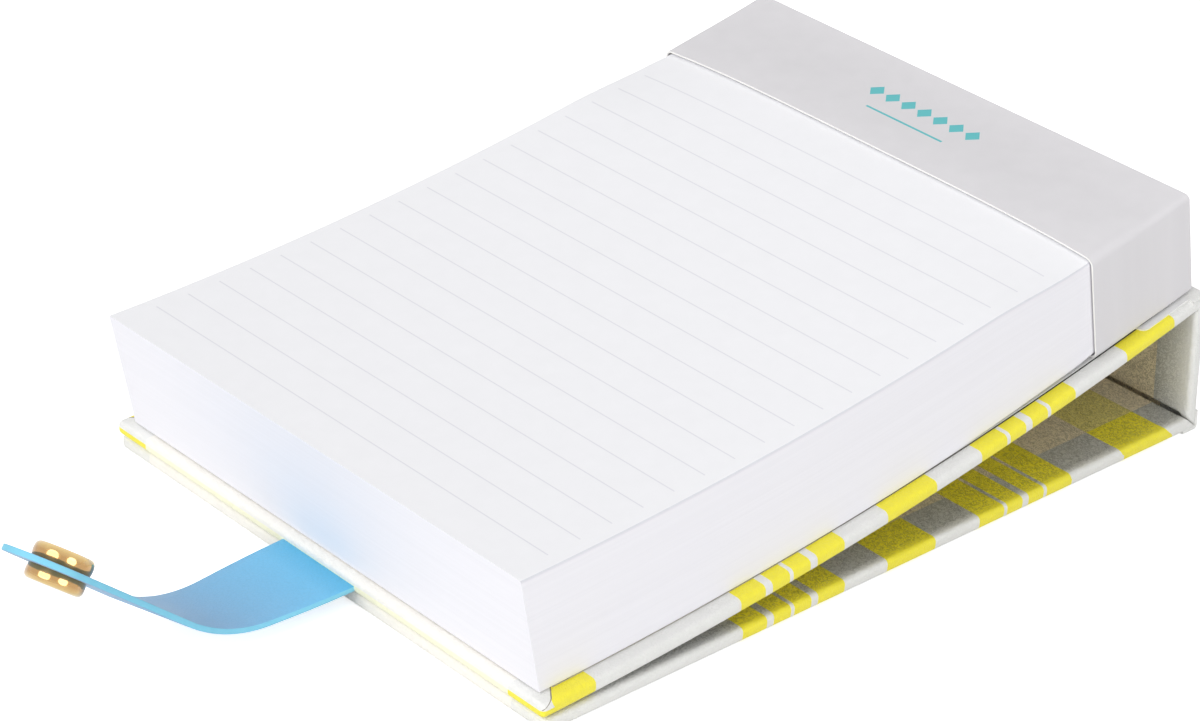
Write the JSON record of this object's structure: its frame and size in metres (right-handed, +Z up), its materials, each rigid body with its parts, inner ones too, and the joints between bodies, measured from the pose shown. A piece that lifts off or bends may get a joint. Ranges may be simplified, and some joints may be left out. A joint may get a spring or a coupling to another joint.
{
  "type": "notepad in a folding hardback case",
  "caption": "Thick pad of ruled sheets with a card head band on the back cover of a striped hardback case; the case folds right round into a sloping desk stand and closes with a snap strap.",
  "frame": {"origin": "middle of the lined face of the front cover, on which the folded case rests", "axes": "+X across the pad, +Y from the foot to the head, +Z up"},
  "size_m": [0.1072, 0.2174, 0.0481],
  "materials": {
    "pages": "matt",
    "band_card": "matt",
    "grey_board": "matt",
    "covering": "satin grain",
    "lining": "matt",
    "strap_leatherette": "satin grain",
    "snap_brass": "polished"
  },
  "bodies": {
    "back_cover": {"page_block": "pages", "head_band": "band_card", "back_board": "grey_board", "back_covering": "covering", "back_lining": "lining", "back_joint": "covering", "strap": "strap_leatherette", "snap_socket": "snap_brass", "snap_cap": "snap_brass"},
    "spine": {"spine_board": "grey_board", "spine_covering": "covering", "spine_lining": "lining", "front_joint": "covering"},
    "front_cover": {"front_board": "grey_board", "front_covering": "covering", "front_lining": "lining", "snap_stud": "snap_brass"}
  },
  "joints": [
    {"name": "spine_hinge", "type": "hinge", "parent": "back_cover", "child": "spine", "pos_m": [0, 0.07601, 0.02771], "axis": [1, 0, 0], "range_deg": [0, 185]},
    {"name": "cover_hinge", "type": "hinge", "parent": "spine", "child": "front_cover", "pos_m": [0, 0.07925, 0.0007], "axis": [1, 0, 0], "range_deg": [0, 184]}
  ]
}
